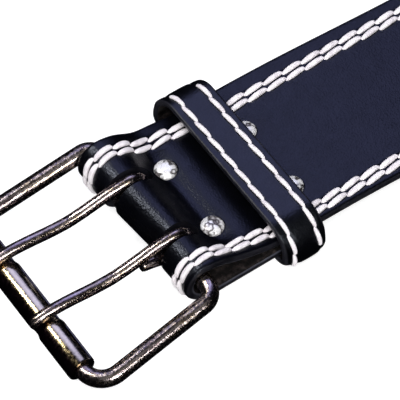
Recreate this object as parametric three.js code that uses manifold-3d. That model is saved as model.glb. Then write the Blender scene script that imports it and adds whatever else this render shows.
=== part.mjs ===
// A tapered leather weightlifting belt with a two-prong roller buckle, lying face up.
// Millimetres, +Z up. The strap runs along +X from the buckle to its rounded tip.
// The belt is laid out from the buckle's rear bar, at x = 0, and centred at the end of the file.

import * as THREE from 'three';
import { mergeVertices } from 'three/addons/utils/BufferGeometryUtils.js';
import Module from 'manifold-3d';

const wasm = await Module();
wasm.setup();

// Clearance between pieces that touch on the real belt
const GAP = 0.3;

// Strap: widths, leather thickness and the places along its length
const STRAP_WIDTH = 63.5;
const BACK_WIDTH = 101.6;
const LEATHER = 3.6;
const EDGE_ROUND = 0.9;
const EDGE_DROP = 0.6;
const STRAP_REACH = 1000;
const TIP_LENGTH = 26;
const LAP_END = 57;
const LAP_ROUNDING = 21;
const LAP_END_LEATHER = 1.8;
const LAP_LEAST = 0.12;
const TIP_LEAST = 0.02;
const TOUCHDOWN = 235;
const WIDEN_FROM = 190;
const WIDEN_LENGTH = 190;
const BACK_LENGTH = 250;
const TOUCHDOWN_EASE = 0.4;

// The strap spreads a little behind the keeper and sways sideways under it
const SPREAD = 1.6;
const SWAY = 1.5;
const SWAY_FROM = 12;
const SWAY_PEAK = 50;
const SWAY_END = 125;

// Fold over the rear bar, measured from the bar's axis
const FOLD_FRONT = 7.5;
const FOLD_FRONT_RISE = 11.5;
const FOLD_BOTTOM_START = 4.6;
const HUMP_AHEAD = 1;
const HUMP_HEIGHT = 12.9;
const HUMP_RUN = 48;
const HUMP_EASE_OUT = 0.21;
const HUMP_EASE_IN = 0.42;
const QUARTER_TURN = 0.5523;

// The fold's front is uneven: how far its outer face stands out, by place across the strap
const FOLD_LEAN = [
  { across: -0.5, out: -0.4 },
  { across: -0.26, out: 0 },
  { across: -0.19, out: -1.7 },
  { across: 0.165, out: 0.2 },
  { across: 0.24, out: 1.3 },
  { across: 0.5, out: 1.6 },
];
const FOLD_LEAN_BEHIND = 3;
const FOLD_LEAN_RUN = 8;

// Keeper: a separate leather loop round both layers of the strap
const KEEPER_CENTRE = 38.1;
const KEEPER_WIDTH = 17;
const KEEPER_LEATHER = 2.4;
const KEEPER_ROOM = 3.35;
const KEEPER_SIDE_SHIFT = 1.4;
const KEEPER_STAND = 9.3;
const KEEPER_TOP_CORNER = 8;
const KEEPER_BOTTOM_CORNER = 4.4;
const KEEPER_TWIST = 1.3;
const KEEPER_LEAN = -0.3;

// The keeper's side walls belly outward, least at the rims
const KEEPER_WALLS = {
  near: { belly: 3, frontRim: 0.15, rearRim: 0.15 },
  far: { belly: 2.2, frontRim: 1, rearRim: 0.2 },
};
const BELLY_SKEW = 0.6;
const RIM_CURVE = 3;

// Buckle frame, roller and prongs
const WIRE = 6.2;
const FRAME_ROOM = 7.3;
const FRAME_NARROWING = 1.8;
const FRAME_DEPTH = 50.3;
const FRAME_SIDE_SHIFT = -1.8;
const FRAME_REAR_CORNER = 5.5;
const FRAME_FRONT_CORNER = 8.5;
const BAR_HEIGHT = 15.4;
const ROLLER_WALL = 1.7;
const ROLLER_GROOVE_DEPTH = 0.6;
const ROLLER_GROOVE_WIDTH = 7;
const FLOOR_CLEARANCE = 0.1;
const PRONG = 4.3;
const PRONG_SPACING = 27;
const PRONG_SKEWS = [4, 4.7];
const PRONG_TAILS = [13.4, 6.2];
const PRONG_END = [0.92, 0.72];
const SLOT_PLAY = 0.85;
const SLOT_REAR_PLAY = 1.6;

// Rivets, and the pattern's offset from the strap's middle line
const PATTERN_SHIFT = -0.8;
const RIVET_SPACING = 28;
const RIVET_FRONT = 15.2;
const RIVET_REAR = 48.5;
const RIVET_HEAD = 8.2;
const RIVET_DOME = 2.1;
const RIVET_RIM = 0.35;
const RIVET_SHANK = 3.4;
const RIVET_FOOT = 5.4;
const RIVET_FOOT_HEIGHT = 0.8;
const RIVET_PULL = 4.8;
const RIVET_PULL_RADIUS = 6.5;
const RIVET_PULL_LEAD = 2.8;
const FAR_EDGE_PULL = 0.42;

// Punched holes in the tongue
const HOLE = 5;
const HOLE_PITCH = 25.4;
const HOLE_ROWS_FROM_TIP = 62;
const HOLE_STATIONS = 8;

// Facets of the solids
const ACROSS = 12;
const TIP_CROWDING = 0.66;
const KEEPER_ROW = [-0.55, 0, 0.55];
const WIRE_FACES = 12;
const CORNER_STEPS = 7;
const KEEPER_CORNER_STEPS = 5;
const PRONG_FACES = 10;
const PRONG_STEPS = 18;
const HOOK_STEP = 22.5;
const ROLLER_FACES = 20;
const RIVET_FACES = 16;
const HOLE_FACES = 12;
const SLOT_STEPS = 5;
const DOME_ANGLES = [22, 44, 66];
const MERGE_DISTANCE = 1e-4;

// Values that follow from the driving dimensions
const LIFT = KEEPER_LEATHER + GAP;
const KEEPER_SPAN = STRAP_WIDTH + 2 * (KEEPER_ROOM + KEEPER_LEATHER);
const FRAME_SPAN = STRAP_WIDTH + 2 * FRAME_ROOM;
const LAP_TOP = LIFT + LEATHER;
const STRAP_TOP = LAP_TOP + GAP + LEATHER;
const ROLLER_RADIUS = WIRE / 2 + GAP + ROLLER_WALL;
const ROLLER_HEIGHT = ROLLER_RADIUS + FLOOR_CLEARANCE;
const FRAME_TILT = Math.asin((BAR_HEIGHT - ROLLER_HEIGHT) / FRAME_DEPTH);
const HOOK_RADIUS = WIRE / 2 + GAP + PRONG / 2;
const ROLLER_LENGTH = FRAME_SPAN - 2 * FRAME_FRONT_CORNER - 2 * GAP;
const pair = (spacing) => [PATTERN_SHIFT - spacing / 2, PATTERN_SHIFT + spacing / 2];
const RIVET_SIDES = pair(RIVET_SPACING);
const PRONGS = pair(PRONG_SPACING).map((side, i) => ({
  name: ['prong_near', 'prong_far'][i],
  side,
  skew: THREE.MathUtils.degToRad(PRONG_SKEWS[i]),
  tail: PRONG_TAILS[i],
}));

const leather = (color) => new THREE.MeshStandardMaterial({ color, roughness: 0.55, metalness: 0 });
const nickel = (color) => new THREE.MeshStandardMaterial({ color, roughness: 0.18, metalness: 1 });

const smooth = (t) => {
  const c = Math.min(Math.max(t, 0), 1);
  return c * c * (3 - 2 * c);
};

// Rings of equally many points, joined into one closed body
function loft(rings, closed = false) {
  const sides = rings[0].length;
  const positions = rings.flat().flatMap((p) => [p.x, p.y, p.z]);
  const faces = [];
  const spans = closed ? rings.length : rings.length - 1;
  for (let i = 0; i < spans; i++) {
    const a = i * sides;
    const b = ((i + 1) % rings.length) * sides;
    for (let j = 0; j < sides; j++) {
      const k = (j + 1) % sides;
      faces.push(a + j, a + k, b + k, a + j, b + k, b + j);
    }
  }
  if (!closed) {
    const last = (rings.length - 1) * sides;
    capFan(faces, sides, 0, true);
    capFan(faces, sides, last, false);
  }
  const geometry = new THREE.BufferGeometry();
  geometry.setAttribute('position', new THREE.Float32BufferAttribute(positions, 3));
  geometry.setIndex(faces);
  return outward(geometry);
}

// A flat end as a strip of triangles across the ring
function capFan(faces, sides, first, flip) {
  let low = 0;
  let high = sides - 1;
  while (high - low > 1) {
    const rise = [first + low, first + low + 1, first + high];
    faces.push(...(flip ? rise.reverse() : rise));
    low += 1;
    if (high - low > 1) {
      const fall = [first + low, first + high - 1, first + high];
      faces.push(...(flip ? fall.reverse() : fall));
      high -= 1;
    }
  }
}

function signedVolume(geometry) {
  const p = geometry.attributes.position;
  const index = geometry.index;
  const [a, b, c] = [new THREE.Vector3(), new THREE.Vector3(), new THREE.Vector3()];
  let sum = 0;
  for (let i = 0; i < index.count; i += 3) {
    a.fromBufferAttribute(p, index.getX(i));
    b.fromBufferAttribute(p, index.getX(i + 1));
    c.fromBufferAttribute(p, index.getX(i + 2));
    sum += a.dot(b.cross(c));
  }
  return sum / 6;
}

// Turns every face round when the body is inside out
function outward(geometry) {
  if (signedVolume(geometry) < 0) {
    const index = Array.from(geometry.index.array);
    for (let i = 0; i < index.length; i += 3) {
      [index[i], index[i + 1]] = [index[i + 1], index[i]];
    }
    geometry.setIndex(index);
  }
  return geometry;
}

function toSolid(geometry) {
  const bare = geometry.clone();
  bare.deleteAttribute('normal');
  bare.deleteAttribute('uv');
  const merged = outward(mergeVertices(bare, MERGE_DISTANCE));
  return new wasm.Manifold(new wasm.Mesh({
    numProp: 3,
    vertProperties: new Float32Array(merged.attributes.position.array),
    triVerts: new Uint32Array(merged.index.array),
  }));
}

function toGeometry(solid) {
  const mesh = solid.getMesh();
  const geometry = new THREE.BufferGeometry();
  geometry.setAttribute('position', new THREE.Float32BufferAttribute(mesh.vertProperties, 3));
  geometry.setIndex(Array.from(mesh.triVerts));
  return geometry;
}

// The strap's middle line seen from the side: x along the belt, y of the 2-D path as height.
// It starts at the lap's free end, runs to the fold, rises round the bar and comes back on top.
function strapPath() {
  const half = LEATHER / 2;
  const lap = LIFT + half;
  const front = -FOLD_FRONT + half;
  const frontRise = LIFT + FOLD_FRONT_RISE;
  const hump = STRAP_TOP + HUMP_HEIGHT - half;
  const top = STRAP_TOP - half;
  const bend = QUARTER_TURN;
  const path = new THREE.Path();
  path.moveTo(LAP_END, lap);
  path.lineTo(FOLD_BOTTOM_START, lap);
  path.bezierCurveTo(
    FOLD_BOTTOM_START - bend * (FOLD_BOTTOM_START - front), lap,
    front, frontRise - bend * (frontRise - lap),
    front, frontRise,
  );
  path.bezierCurveTo(
    front, frontRise + bend * (hump - frontRise),
    HUMP_AHEAD - bend * (HUMP_AHEAD - front), hump,
    HUMP_AHEAD, hump,
  );
  path.bezierCurveTo(
    HUMP_AHEAD + HUMP_EASE_OUT * HUMP_RUN, hump,
    HUMP_AHEAD + HUMP_EASE_IN * HUMP_RUN, top,
    HUMP_AHEAD + HUMP_RUN, top,
  );
  const ledge = LAP_END + LEATHER;
  path.lineTo(ledge, top);
  const slack = (TOUCHDOWN - ledge) * TOUCHDOWN_EASE;
  path.bezierCurveTo(ledge + slack, top, TOUCHDOWN - slack, half, TOUCHDOWN, half);
  path.lineTo(STRAP_REACH, half);
  return path;
}

// Steps along each stretch of the path, in the path's own order
const STRETCHES = [
  { name: 'lap', steps: 8 },
  { name: 'under the bar', steps: 8 },
  { name: 'front of the bar', steps: 7 },
  { name: 'down from the hump', steps: 17 },
  { name: 'over the lap', steps: 2 },
  { name: 'down to the floor', steps: 8 },
  { name: 'lying flat', steps: 22 },
];

function widthAt(x) {
  const narrowAgain = WIDEN_FROM + WIDEN_LENGTH + BACK_LENGTH;
  const wide = smooth((x - WIDEN_FROM) / WIDEN_LENGTH) - smooth((x - narrowAgain) / WIDEN_LENGTH);
  const spread = SPREAD * smooth((x - SWAY_FROM) / (SWAY_PEAK - SWAY_FROM)) * (1 - wide);
  return STRAP_WIDTH + (BACK_WIDTH - STRAP_WIDTH) * wide + spread;
}

function swayAt(x) {
  const rise = smooth((x - SWAY_FROM) / (SWAY_PEAK - SWAY_FROM));
  return SWAY * rise * (1 - smooth((x - SWAY_PEAK) / (SWAY_END - SWAY_PEAK)));
}

// Straight lines between the rows of a table
function between(table, key, value, at) {
  const next = table.findIndex((row) => row[key] >= at);
  if (next <= 0) {
    return table[next < 0 ? table.length - 1 : 0][value];
  }
  const [a, b] = [table[next - 1], table[next]];
  return a[value] + ((b[value] - a[value]) * (at - a[key])) / (b[key] - a[key]);
}

function foldLean(x, y) {
  const near = smooth((FOLD_LEAN_BEHIND - x) / FOLD_LEAN_RUN);
  return near * between(FOLD_LEAN, 'across', 'out', y / STRAP_WIDTH);
}

// The lap's end is rounded, so that it stays hidden under the top layer
function lapShare(x) {
  const u = Math.max((x - (LAP_END - LAP_ROUNDING)) / LAP_ROUNDING, 0);
  return Math.sqrt(Math.max(1 - u * u, LAP_LEAST));
}

// The rounded tip narrows as a half ellipse
function tipShare(x) {
  const u = Math.max((x - (STRAP_REACH - TIP_LENGTH)) / TIP_LENGTH, 0);
  return Math.sqrt(Math.max(1 - u * u, TIP_LEAST));
}

// The front rivets pull the top layer down between the hump and the keeper, least at its edges:
// not at all at the near one, and by a share at the far one
function rivetPull(x, y) {
  const along = (x - (RIVET_FRONT - RIVET_PULL_LEAD)) / RIVET_PULL_RADIUS;
  const inner = RIVET_SPACING / 2 + RIVET_HEAD / 2;
  const fade = smooth((Math.abs(y - PATTERN_SHIFT) - inner) / (STRAP_WIDTH / 2 - inner));
  const across = 1 - fade * (y > PATTERN_SHIFT ? 1 - FAR_EDGE_PULL : 1);
  return RIVET_PULL * Math.exp(-along * along) * across;
}

function strapStations() {
  const path = strapPath();
  const stations = [];
  path.curves.forEach((curve, n) => {
    const steps = STRETCHES[n].steps;
    for (let i = n === 0 ? 0 : 1; i <= steps; i++) {
      const u = n === path.curves.length - 1 ? tipSteps(i / steps) : i / steps;
      const p = curve.getPointAt(u);
      const t = curve.getTangentAt(u);
      stations.push({ x: p.x, z: p.y, nx: -t.y, nz: t.x, top: n >= 2, lap: n === 0 });
    }
  });
  return stations;
}

// Even steps over the flat stretch, the last third of them crowded into the tip's curve
function tipSteps(u) {
  const share = TIP_LENGTH / (STRAP_REACH - TOUCHDOWN);
  if (u < TIP_CROWDING) {
    return (u / TIP_CROWDING) * (1 - share);
  }
  const v = (u - TIP_CROWDING) / (1 - TIP_CROWDING);
  return 1 - share + share * Math.sin((v * Math.PI) / 2);
}

function strapRing(station) {
  const outline = station.top ? widthAt(station.x) * tipShare(station.x) : STRAP_WIDTH;
  const half = (outline / 2) * (station.lap ? lapShare(station.x) : 1);
  const taper = station.lap ? smooth((LAP_END - station.x) / (LAP_END - KEEPER_CENTRE)) : 1;
  const thick = LAP_END_LEATHER + (LEATHER - LAP_END_LEATHER) * taper;
  const flat = half - EDGE_ROUND;
  const side = thick / 2 - EDGE_ROUND * EDGE_DROP;
  const row = Array.from({ length: ACROSS }, (_, i) => -flat + (2 * flat * i) / (ACROSS - 1));
  const section = [
    ...row.map((y) => [y, thick / 2]),
    [half, side],
    [half, -side],
    ...row.slice().reverse().map((y) => [y, -thick / 2]),
    [-half, -side],
    [-half, side],
  ];
  return section.map(([y, h]) => {
    const pull = station.top ? rivetPull(station.x, y) : 0;
    const sway = station.top ? swayAt(station.x) : 0;
    const lean = station.lap || h < 0 ? 0 : foldLean(station.x, y);
    const out = h + lean;
    return new THREE.Vector3(station.x + station.nx * out, y + sway, station.z + station.nz * out - pull);
  });
}

// Height of the top layer's upper face, read off the same stations
function strapTopAt(x, y) {
  const upper = strapStations().filter((s) => s.top && s.x > HUMP_AHEAD);
  const after = upper.findIndex((s) => s.x + s.nx * (LEATHER / 2) >= x);
  const [a, b] = [upper[after - 1], upper[after]];
  const ax = a.x + (a.nx * LEATHER) / 2;
  const bx = b.x + (b.nx * LEATHER) / 2;
  const az = a.z + (a.nz * LEATHER) / 2 - rivetPull(a.x, y);
  const bz = b.z + (b.nz * LEATHER) / 2 - rivetPull(b.x, y);
  return az + ((bz - az) * (x - ax)) / (bx - ax);
}

// A rivet's outline from foot to dome, grown all round by a margin; headTop lifts a cutter's head
function rivetProfile(seat, margin, headTop) {
  const foot = LIFT + GAP;
  const head = RIVET_HEAD / 2 + margin;
  const shank = RIVET_SHANK / 2 + margin;
  const bottom = margin > 0 ? 0 : foot;
  const points = [
    [0, bottom],
    [RIVET_FOOT / 2 + margin, bottom],
    [RIVET_FOOT / 2 + margin, foot],
    [shank, foot + RIVET_FOOT_HEIGHT + margin],
    [shank, seat - margin],
    [head, seat - margin],
  ];
  if (margin > 0) {
    points.push([head, headTop], [0, headTop]);
  } else {
    const rim = RIVET_RIM * RIVET_DOME;
    points.push([head, seat + rim]);
    for (const angle of DOME_ANGLES) {
      const a = THREE.MathUtils.degToRad(angle);
      points.push([head * Math.cos(a), seat + rim + (RIVET_DOME - rim) * Math.sin(a)]);
    }
    points.push([0, seat + RIVET_DOME]);
  }
  return points.map(([r, z]) => new THREE.Vector2(r, z));
}

// A body turned about a vertical axis
function turned(profile, x, y) {
  const geometry = new THREE.LatheGeometry(profile, RIVET_FACES);
  geometry.rotateX(Math.PI / 2);
  geometry.translate(x, y, 0);
  return geometry;
}

function rivetSites() {
  const sites = [];
  for (const [place, x] of [['front', RIVET_FRONT], ['rear', RIVET_REAR]]) {
    for (const [side, y] of [['near', RIVET_SIDES[0]], ['far', RIVET_SIDES[1]]]) {
      sites.push({ name: `rivet_${place}_${side}`, x, y, seat: strapTopAt(x, y) });
    }
  }
  return sites;
}

// An upright prism with a round end, open at the front of the fold
function slotCutter(y) {
  const half = PRONG / 2 + SLOT_PLAY;
  const rear = HOOK_RADIUS + PRONG / 2 + SLOT_REAR_PLAY;
  const shape = new THREE.Shape();
  shape.moveTo(-FOLD_FRONT - LEATHER, -half);
  shape.lineTo(rear - half, -half);
  shape.absarc(rear - half, 0, half, -Math.PI / 2, Math.PI / 2, false);
  shape.lineTo(-FOLD_FRONT - LEATHER, half);
  const depth = STRAP_TOP + HUMP_HEIGHT + 2 * LEATHER;
  const geometry = new THREE.ExtrudeGeometry(shape, { depth, bevelEnabled: false, curveSegments: SLOT_STEPS });
  geometry.translate(0, y, -LEATHER);
  return geometry;
}

function makeStrap(sites) {
  let solid = toSolid(loft(strapStations().map(strapRing)));
  for (const { side: y } of PRONGS) {
    solid = solid.subtract(toSolid(slotCutter(y)));
    for (let i = 0; i < HOLE_STATIONS; i++) {
      const hole = new THREE.CylinderGeometry(HOLE / 2, HOLE / 2, 3 * LEATHER, HOLE_FACES);
      hole.rotateX(Math.PI / 2);
      hole.translate(STRAP_REACH - HOLE_ROWS_FROM_TIP - i * HOLE_PITCH, y, LEATHER / 2);
      solid = solid.subtract(toSolid(hole));
    }
  }
  for (const { x, y, seat } of sites) {
    const cutter = turned(rivetProfile(seat, GAP, seat + LEATHER), x, y);
    solid = solid.subtract(toSolid(cutter));
  }
  return new THREE.Mesh(toGeometry(solid), leather(0x15171f));
}

// The keeper's middle line seen along the strap, from the middle of its underside
function keeperLine() {
  const half = KEEPER_LEATHER / 2;
  const side = KEEPER_SPAN / 2 - half;
  const low = half;
  const high = STRAP_TOP + KEEPER_STAND - half;
  const path = new THREE.Path();
  const [under, over] = [KEEPER_BOTTOM_CORNER, KEEPER_TOP_CORNER];
  path.absarc(side - under, low + under, under, -Math.PI / 2, 0, false);
  path.absarc(side - over, high - over, over, 0, Math.PI / 2, false);
  path.absarc(-side + over, high - over, over, Math.PI / 2, Math.PI, false);
  path.absarc(-side + under, low + under, under, Math.PI, 1.5 * Math.PI, false);
  const points = path.getPoints(KEEPER_CORNER_STEPS);
  return points.map((p) => {
    const rise = (p.y - low) / (high - low);
    const across = p.x / side;
    const onWall = smooth((Math.abs(p.x) - (side - over)) / over);
    const belly = onWall * Math.sin(Math.PI * rise ** BELLY_SKEW);
    return { y: p.x, z: p.y, belly, twist: (1 - rise) * (KEEPER_LEAN - KEEPER_TWIST * across) };
  });
}

// How far a side wall stands out, at a place across the strip from its front rim, -1, to its rear, 1
function bellyAt(p, across) {
  const wall = p.y > 0 ? KEEPER_WALLS.far : KEEPER_WALLS.near;
  const rim = across < 0 ? wall.frontRim : wall.rearRim;
  return Math.sign(p.y) * wall.belly * p.belly * (1 - (1 - rim) * Math.abs(across) ** RIM_CURVE);
}

function makeKeeper() {
  const line = keeperLine();
  const count = line.length;
  const round = EDGE_ROUND * EDGE_DROP;
  const [w, h] = [KEEPER_WIDTH / 2, KEEPER_LEATHER / 2];
  const row = [-w + round, ...KEEPER_ROW.map((share) => share * w), w - round];
  const section = [
    ...row.map((x) => [x, h]), [w, h - round], [w, -h + round],
    ...row.slice().reverse().map((x) => [x, -h]), [-w, -h + round], [-w, h - round],
  ];
  const rings = line.map((p, i) => {
    const before = line[(i + count - 1) % count];
    const after = line[(i + 1) % count];
    const along = new THREE.Vector2(after.y - before.y, after.z - before.z).normalize();
    return section.map(([x, n]) => new THREE.Vector3(
      KEEPER_CENTRE + p.twist + x,
      p.y + KEEPER_SIDE_SHIFT + along.y * n + bellyAt(p, x / w),
      p.z - along.x * n,
    ));
  });
  return new THREE.Mesh(loft(rings, true), leather(0x16181f));
}

// A round rod along a flat path of [x, y] points; radii gives the radius at each point
function rod(points, radii, sides, closed) {
  const count = points.length;
  const rings = points.map((p, i) => {
    const before = points[closed ? (i + count - 1) % count : Math.max(i - 1, 0)];
    const after = points[closed ? (i + 1) % count : Math.min(i + 1, count - 1)];
    const along = after.clone().sub(before).normalize();
    return Array.from({ length: sides }, (_, k) => {
      const a = (2 * Math.PI * k) / sides;
      const out = radii[i] * Math.cos(a);
      return new THREE.Vector3(p.x - along.y * out, p.y + along.x * out, radii[i] * Math.sin(a));
    });
  });
  return loft(rings, closed);
}

// The frame lies in its own plane: x from the rear bar to the roller is negative, y across
function makeFrame() {
  const [half, depth] = [FRAME_SPAN / 2, FRAME_DEPTH];
  const [rear, front] = [FRAME_REAR_CORNER, FRAME_FRONT_CORNER];
  const rearHalf = half - FRAME_NARROWING;
  const path = new THREE.Path();
  path.absarc(-rear, rearHalf - rear, rear, 0, Math.PI / 2, false);
  path.absarc(-depth + front, half - front, front, Math.PI / 2, Math.PI, false);
  path.absarc(-depth + front, -half + front, front, Math.PI, 1.5 * Math.PI, false);
  path.absarc(-rear, -rearHalf + rear, rear, 1.5 * Math.PI, 2 * Math.PI, false);
  const points = path.getPoints(CORNER_STEPS);
  const radii = points.map(() => WIRE / 2);
  const mesh = new THREE.Mesh(rod(points, radii, WIRE_FACES, true), nickel(0x8f8a88));
  mesh.position.y = FRAME_SIDE_SHIFT;
  return mesh;
}

// Where a prong crosses the roller, measured across the belt
function prongTipSide({ side, skew }) {
  return side + FRAME_DEPTH * Math.tan(skew);
}

function makeRoller() {
  const bore = WIRE / 2 + GAP;
  const end = ROLLER_LENGTH / 2;
  const bevel = ROLLER_WALL / 3;
  const profile = [[bore, -end], [ROLLER_RADIUS - bevel, -end], [ROLLER_RADIUS, -end + bevel]];
  const ease = ROLLER_GROOVE_WIDTH / 4;
  for (const prong of PRONGS) {
    const middle = prongTipSide(prong) - FRAME_SIDE_SHIFT;
    const waist = ROLLER_RADIUS - ROLLER_GROOVE_DEPTH;
    const half = ROLLER_GROOVE_WIDTH / 2;
    profile.push([ROLLER_RADIUS, middle - half], [waist, middle - half + ease]);
    profile.push([waist, middle + half - ease], [ROLLER_RADIUS, middle + half]);
  }
  profile.push([ROLLER_RADIUS, end - bevel], [ROLLER_RADIUS - bevel, end], [bore, end], [bore, -end]);
  const geometry = new THREE.LatheGeometry(profile.map(([r, y]) => new THREE.Vector2(r, y)), ROLLER_FACES);
  const mesh = new THREE.Mesh(geometry, nickel(0x9a938f));
  mesh.position.set(-FRAME_DEPTH, FRAME_SIDE_SHIFT, 0);
  return mesh;
}

// A prong's bends: reach as a share of the frame's depth, height over the frame's plane as a
// share of the height at which it crosses the roller
const PRONG_BENDS = [
  { reach: 0.11, height: 0.79 },
  { reach: 0.23, height: 0.68 },
  { reach: 0.36, height: 0.55 },
  { reach: 0.48, height: 0.5 },
  { reach: 0.61, height: 0.61 },
  { reach: 0.76, height: 0.83 },
  { reach: 0.89, height: 0.98 },
  { reach: 1, height: 1 },
  { reach: 1.06, height: 0.92 },
  { reach: 1.1, height: 0.77 },
];

// A prong's tail in front of the bar: reach as a share of its length, rise as a share of the
// hook's radius for each millimetre of that length
const TAIL_BENDS = [
  { reach: 1, rise: 0.07 },
  { reach: 0.66, rise: 0.046 },
  { reach: 0.34, rise: 0.016 },
];

// From the tail's cut end under the shank, round the bar and along the shank
function prongLine(tailLength) {
  const over = ROLLER_RADIUS - ROLLER_GROOVE_DEPTH + PRONG / 2 + GAP;
  const tail = TAIL_BENDS.map((bend) => new THREE.Vector2(
    -bend.reach * tailLength,
    (bend.rise * tailLength - 1) * HOOK_RADIUS,
  ));
  const hook = [];
  for (let angle = -90; angle <= 90; angle += HOOK_STEP) {
    const a = THREE.MathUtils.degToRad(angle);
    hook.push(new THREE.Vector2(HOOK_RADIUS * Math.cos(a), HOOK_RADIUS * Math.sin(a)));
  }
  const shank = PRONG_BENDS.map((bend) => new THREE.Vector2(-bend.reach * FRAME_DEPTH, bend.height * over));
  const bends = new THREE.SplineCurve([...hook.slice(-1), ...shank]);
  return [...tail, ...hook.slice(0, -1), ...bends.getPoints(PRONG_STEPS)];
}

function makeProng({ side, skew, tail }) {
  const points = prongLine(tail);
  const radii = points.map(() => PRONG / 2);
  radii.splice(-PRONG_END.length, PRONG_END.length, ...PRONG_END.map((share) => (share * PRONG) / 2));
  const geometry = rod(points, radii, PRONG_FACES, false);
  geometry.rotateX(Math.PI / 2);
  geometry.rotateZ(-skew);
  const mesh = new THREE.Mesh(geometry, nickel(0x8b8583));
  mesh.position.y = side;
  return mesh;
}

function named(mesh, name) {
  mesh.name = name;
  return mesh;
}

const sites = rivetSites();
const belt = new THREE.Group();
belt.add(named(makeStrap(sites), 'strap'));
belt.add(named(makeKeeper(), 'keeper'));
for (const { name, x, y, seat } of sites) {
  const rivet = new THREE.Mesh(turned(rivetProfile(seat, 0, seat), x, y), nickel(0xd8d4d2));
  belt.add(named(rivet, name));
}

// The buckle hangs on its rear bar and leans down until the roller lies on the floor
const buckle = new THREE.Group();
buckle.position.z = BAR_HEIGHT;
buckle.rotation.y = -FRAME_TILT;
buckle.add(named(makeFrame(), 'buckle_frame'));
buckle.add(named(makeRoller(), 'roller'));
for (const prong of PRONGS) {
  buckle.add(named(makeProng(prong), prong.name));
}
belt.add(buckle);

// The origin is the middle of the belt's box, on the floor
belt.updateMatrixWorld(true);
const box = new THREE.Box3().setFromObject(belt, true);
const middle = box.getCenter(new THREE.Vector3());
belt.position.set(-middle.x, -middle.y, -box.min.z);

export default belt;
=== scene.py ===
"""Dressed model of a tapered leather weightlifting belt with a two-prong roller buckle."""
import math

import bmesh
import bpy
import numpy as np
from mathutils import Matrix, Vector


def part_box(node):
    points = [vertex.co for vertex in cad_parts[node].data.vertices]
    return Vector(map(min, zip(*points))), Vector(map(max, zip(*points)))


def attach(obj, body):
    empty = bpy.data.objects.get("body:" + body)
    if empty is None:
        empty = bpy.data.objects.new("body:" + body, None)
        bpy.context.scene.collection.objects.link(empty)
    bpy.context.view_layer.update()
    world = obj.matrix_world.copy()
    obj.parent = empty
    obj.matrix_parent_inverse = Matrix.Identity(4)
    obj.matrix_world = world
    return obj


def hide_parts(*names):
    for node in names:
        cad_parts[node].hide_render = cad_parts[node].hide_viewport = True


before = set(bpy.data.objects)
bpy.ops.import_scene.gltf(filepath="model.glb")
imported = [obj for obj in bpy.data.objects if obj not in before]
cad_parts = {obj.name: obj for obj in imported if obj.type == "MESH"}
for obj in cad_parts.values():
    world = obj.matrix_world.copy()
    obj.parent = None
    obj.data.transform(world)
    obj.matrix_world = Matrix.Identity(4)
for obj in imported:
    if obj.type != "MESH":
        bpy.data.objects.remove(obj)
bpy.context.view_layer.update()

MM = 0.001

# Sizes in millimetres, the same as the solids' own
STRAP_WIDTH = 63.5
BACK_WIDTH = 101.6
LEATHER = 3.6
EDGE_ROUND = 0.9
STRAP_REACH = 1000.0
TIP_LENGTH = 26.0
LAP_END = 57.0
LAP_ROUNDING = 21.0
LAP_END_LEATHER = 1.8
LAP_LEAST = 0.12
TIP_LEAST = 0.02
TOUCHDOWN = 235.0
WIDEN_FROM = 190.0
WIDEN_LENGTH = 190.0
BACK_LENGTH = 250.0
TOUCHDOWN_EASE = 0.4
SPREAD = 1.6
SWAY = 1.5
SWAY_FROM = 12.0
SWAY_PEAK = 50.0
SWAY_END = 125.0
FOLD_FRONT = 7.5
FOLD_FRONT_RISE = 11.5
FOLD_BOTTOM_START = 4.6
HUMP_AHEAD = 1.0
HUMP_HEIGHT = 12.9
HUMP_RUN = 48.0
HUMP_EASE_OUT = 0.21
HUMP_EASE_IN = 0.42
QUARTER_TURN = 0.5523
# The fold's lean: place across the strap, and how far its outer face stands out there
FOLD_LEAN = [(-0.5, -0.4), (-0.26, 0.0), (-0.19, -1.7), (0.165, 0.2), (0.24, 1.3), (0.5, 1.6)]
FOLD_LEAN_BEHIND = 3.0
FOLD_LEAN_RUN = 8.0
KEEPER_CENTRE = 38.1
KEEPER_WIDTH = 17.0
KEEPER_LEATHER = 2.4
KEEPER_SPAN = 75.0
KEEPER_SIDE_SHIFT = 1.4
KEEPER_STAND = 9.3
KEEPER_TOP_CORNER = 8.0
KEEPER_BOTTOM_CORNER = 4.4
KEEPER_TWIST = 1.3
KEEPER_LEAN = -0.3
# Belly of each side wall, and the shares of it that its front and rear rims keep
KEEPER_WALLS = {"near": (3.0, 0.15, 0.15), "far": (2.2, 1.0, 0.2)}
BELLY_SKEW = 0.6
RIM_CURVE = 3
WIRE = 6.2
FRAME_SPAN = 78.1
FRAME_NARROWING = 1.8
FRAME_DEPTH = 50.3
FRAME_SIDE_SHIFT = -1.8
FRAME_REAR_CORNER = 5.5
FRAME_FRONT_CORNER = 8.5
BAR_HEIGHT = 15.4
GAP = 0.3
ROLLER_WALL = 1.7
ROLLER_GROOVE_DEPTH = 0.6
ROLLER_GROOVE_WIDTH = 7.0
FLOOR_CLEARANCE = 0.1
PRONG = 4.3
PRONG_SPACING = 27.0
PRONG_SKEWS = [4.0, 4.7]
PRONG_TAILS = [13.4, 6.2]
# Along a prong's tail: share of its length, and rise for each millimetre of it, in hook radii
TAIL_BENDS = [(1.0, 0.07), (0.66, 0.046), (0.34, 0.016)]
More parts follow.
